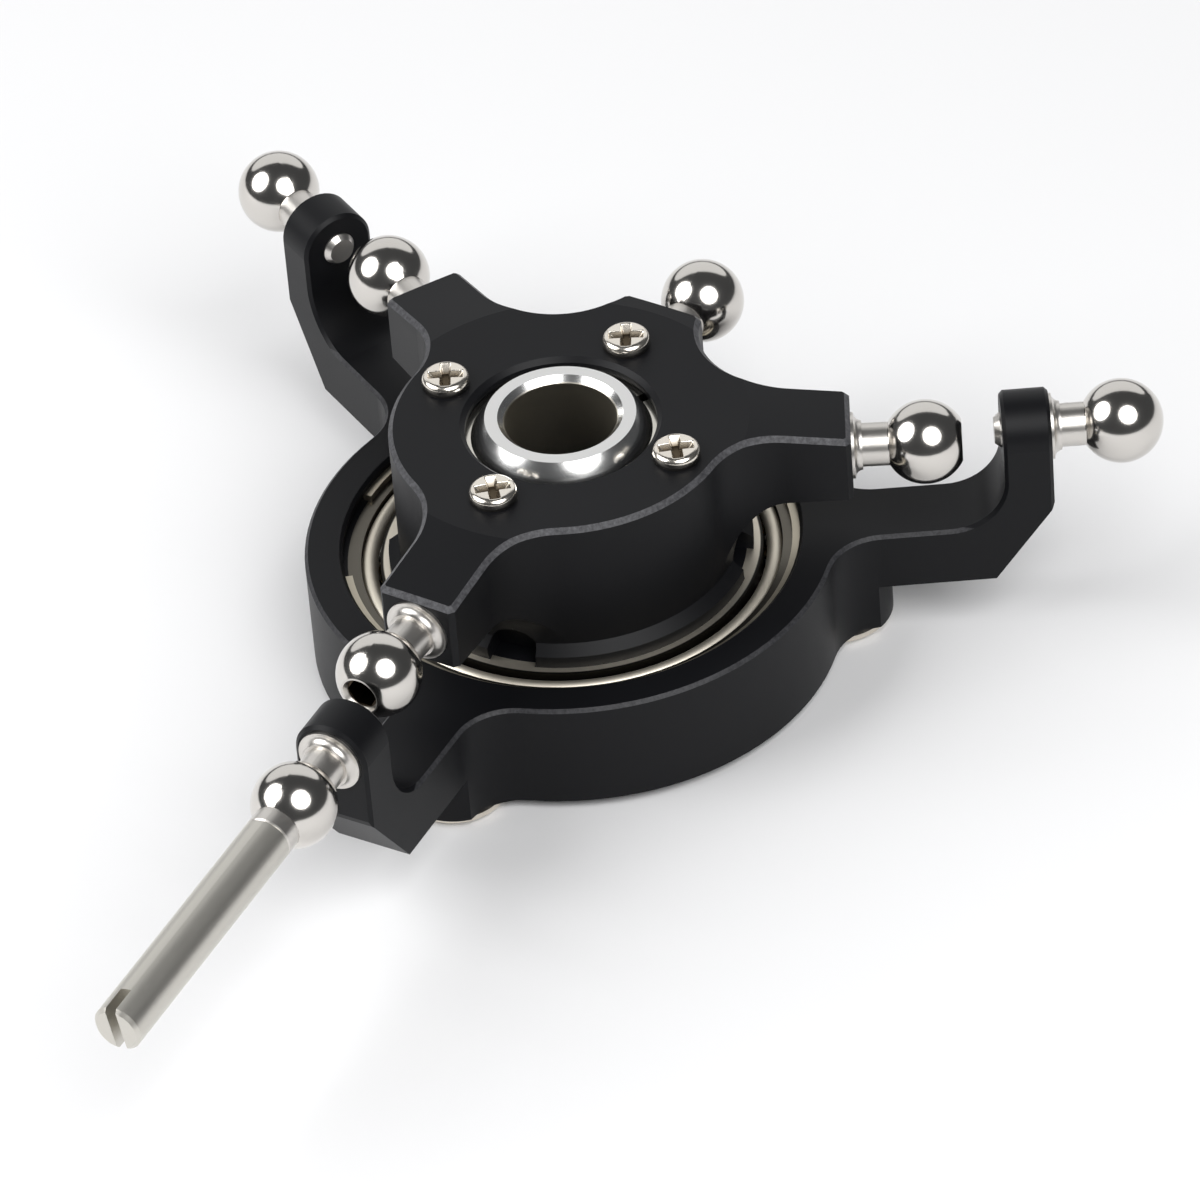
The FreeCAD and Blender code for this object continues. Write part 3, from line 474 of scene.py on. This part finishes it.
LINK_BALLS = {
    "upper_link_front": "upper_ball_front",
    "upper_link_right": "upper_ball_right",
    "upper_link_left": "upper_ball_left",
    "upper_link_rear": "upper_ball_rear",
    "lower_link_front": "anti_rotation_ball",
    "lower_link_right": "lower_ball_right",
    "lower_link_left": "lower_ball_left",
}
BALL_RADIUS = 0.003
POLISH_END = 0.00003
STUD_START = 0.00007
SOCKET_END = BALL_RADIUS * 0.83
SPHERE_START = BALL_RADIUS * 0.87
LINK_STAINLESS = (0.66, 0.635, 0.6)
SOCKET_SHADE = (0.06, 0.045, 0.03)


def link_finish(name, centre):
    """Polished on the sphere about that centre, and finely turned on the stud beside it."""
    material, start, place = new_finish(name)
    from_centre = start.node("ShaderNodeVectorMath", {"operation": "DISTANCE"},
                             {0: place, 1: centre}, output="Value")
    stud = fade(start, abs(from_centre - BALL_RADIUS), POLISH_END, STUD_START)
    socket = fade(start, from_centre, SOCKET_END, SPHERE_START, 1.0, 0.0)
    grain = noise(start, place, scale=4000.0, detail=2.0, roughness=0.5)
    close_finish(start, {"Base Color": blend(start, socket, LINK_STAINLESS, SOCKET_SHADE),
                         "Metallic": 1.0,
                         "Roughness": 0.14 + stud * (0.12 + grain * 0.1)})
    return material


for mount in frame["record"]["mounts"]:
    if mount["name"] in LINK_BALLS:
        ball = LINK_BALLS[mount["name"]]
        dress(ball, link_finish(f"link_steel_{ball}", tuple(mount["pos_m"])))
dress("anti_rotation_pin",
      bright_metal("pin_steel", colour=(0.63, 0.61, 0.56), roughness=0.38))


# Table: a large sheet of pale matt paper, on which the heads of the retaining screws rest.
# It is stage and no part of the swashplate.

TABLE_HALF = 1.5
table_mesh = bpy.data.meshes.new("table")
table_mesh.from_pydata(
    [(x, y, cad_low.z) for x, y in ((-TABLE_HALF, -TABLE_HALF), (TABLE_HALF, -TABLE_HALF),
                                    (TABLE_HALF, TABLE_HALF), (-TABLE_HALF, TABLE_HALF))],
    [], [(0, 1, 2, 3)])
table_paper, start, _ = new_finish("table_paper")
close_finish(start, {"Base Color": (0.8, 0.8, 0.806, 1.0), "Roughness": 0.7,
                     "Specular IOR Level": 0.2})
table_mesh.materials.append(table_paper)
put("table", table_mesh)


# Camera: a long lens high over the front arm, leaning a little to one side. It stands on the
# line through a point just above the uniball's centre, moved sideways and down to frame the pin.

AZIMUTH = math.radians(32.927)
ELEVATION = math.radians(40.218)
ROLL = math.radians(-4.831)
LENS_MM = 258.99
SENSOR_MM = 36.0
SIDEWAYS = 0.002828
DOWNWARD = 0.013381
DISTANCE = 0.606308
AIM_HEIGHT = 0.00492

back = Vector((math.sin(AZIMUTH) * math.cos(ELEVATION),
               -math.cos(AZIMUTH) * math.cos(ELEVATION), math.sin(ELEVATION)))
level = (-back).cross(Vector((0, 0, 1))).normalized()
upward = level.cross(-back)
right = level * math.cos(ROLL) + upward * math.sin(ROLL)
up = upward * math.cos(ROLL) - level * math.sin(ROLL)
camera = bpy.data.cameras.new("camera")
camera.sensor_width = SENSOR_MM
camera.lens = LENS_MM
camera.clip_start = 0.01
camera.clip_end = 10.0
eye = put("camera", camera)
eye_place = (right * SIDEWAYS - up * DOWNWARD + back * DISTANCE
             + Vector((0, 0, AIM_HEIGHT)))
eye.matrix_world = (Matrix.Translation(eye_place)
                    @ Matrix((right, up, back)).transposed().to_4x4())
bpy.context.scene.camera = eye


# Lights: a round soft box on each side, which show as two spots on every ball, and a wide one
# behind that fills the far faces. The room gives a faint cool light.

SIDE_BOX = {"distance": 0.7, "width": 0.62, "height": 0.62, "power": 4.6}


def soft_box(name, direction, distance, width, height, power):
    """An area light at that direction and distance from the part, facing it."""
    light = bpy.data.lights.new(name, "AREA")
    light.shape = "ELLIPSE"
    light.size = width
    light.size_y = height
    light.energy = power
    lamp = put(name, light)
    away = Vector(direction).normalized()
    lamp.location = away * distance
    lamp.rotation_euler = away.to_track_quat("Z", "Y").to_euler()


soft_box("soft_box_left", (-0.613, -0.457, 0.644), **SIDE_BOX)
soft_box("soft_box_right", (0.581, -0.300, 0.757), **SIDE_BOX)
soft_box("backdrop", (-back.x, -back.y, 0.42), distance=1.2, width=2.4, height=1.1, power=5.5)
bpy.context.scene.view_settings.view_transform = "Standard"
world = bpy.data.worlds.new("studio")
bpy.context.scene.world = world
world.use_nodes = True
room_light = world.node_tree.nodes["Background"]
room_light.inputs["Color"].default_value = (0.95, 0.97, 1.0, 1.0)
room_light.inputs["Strength"].default_value = 0.07
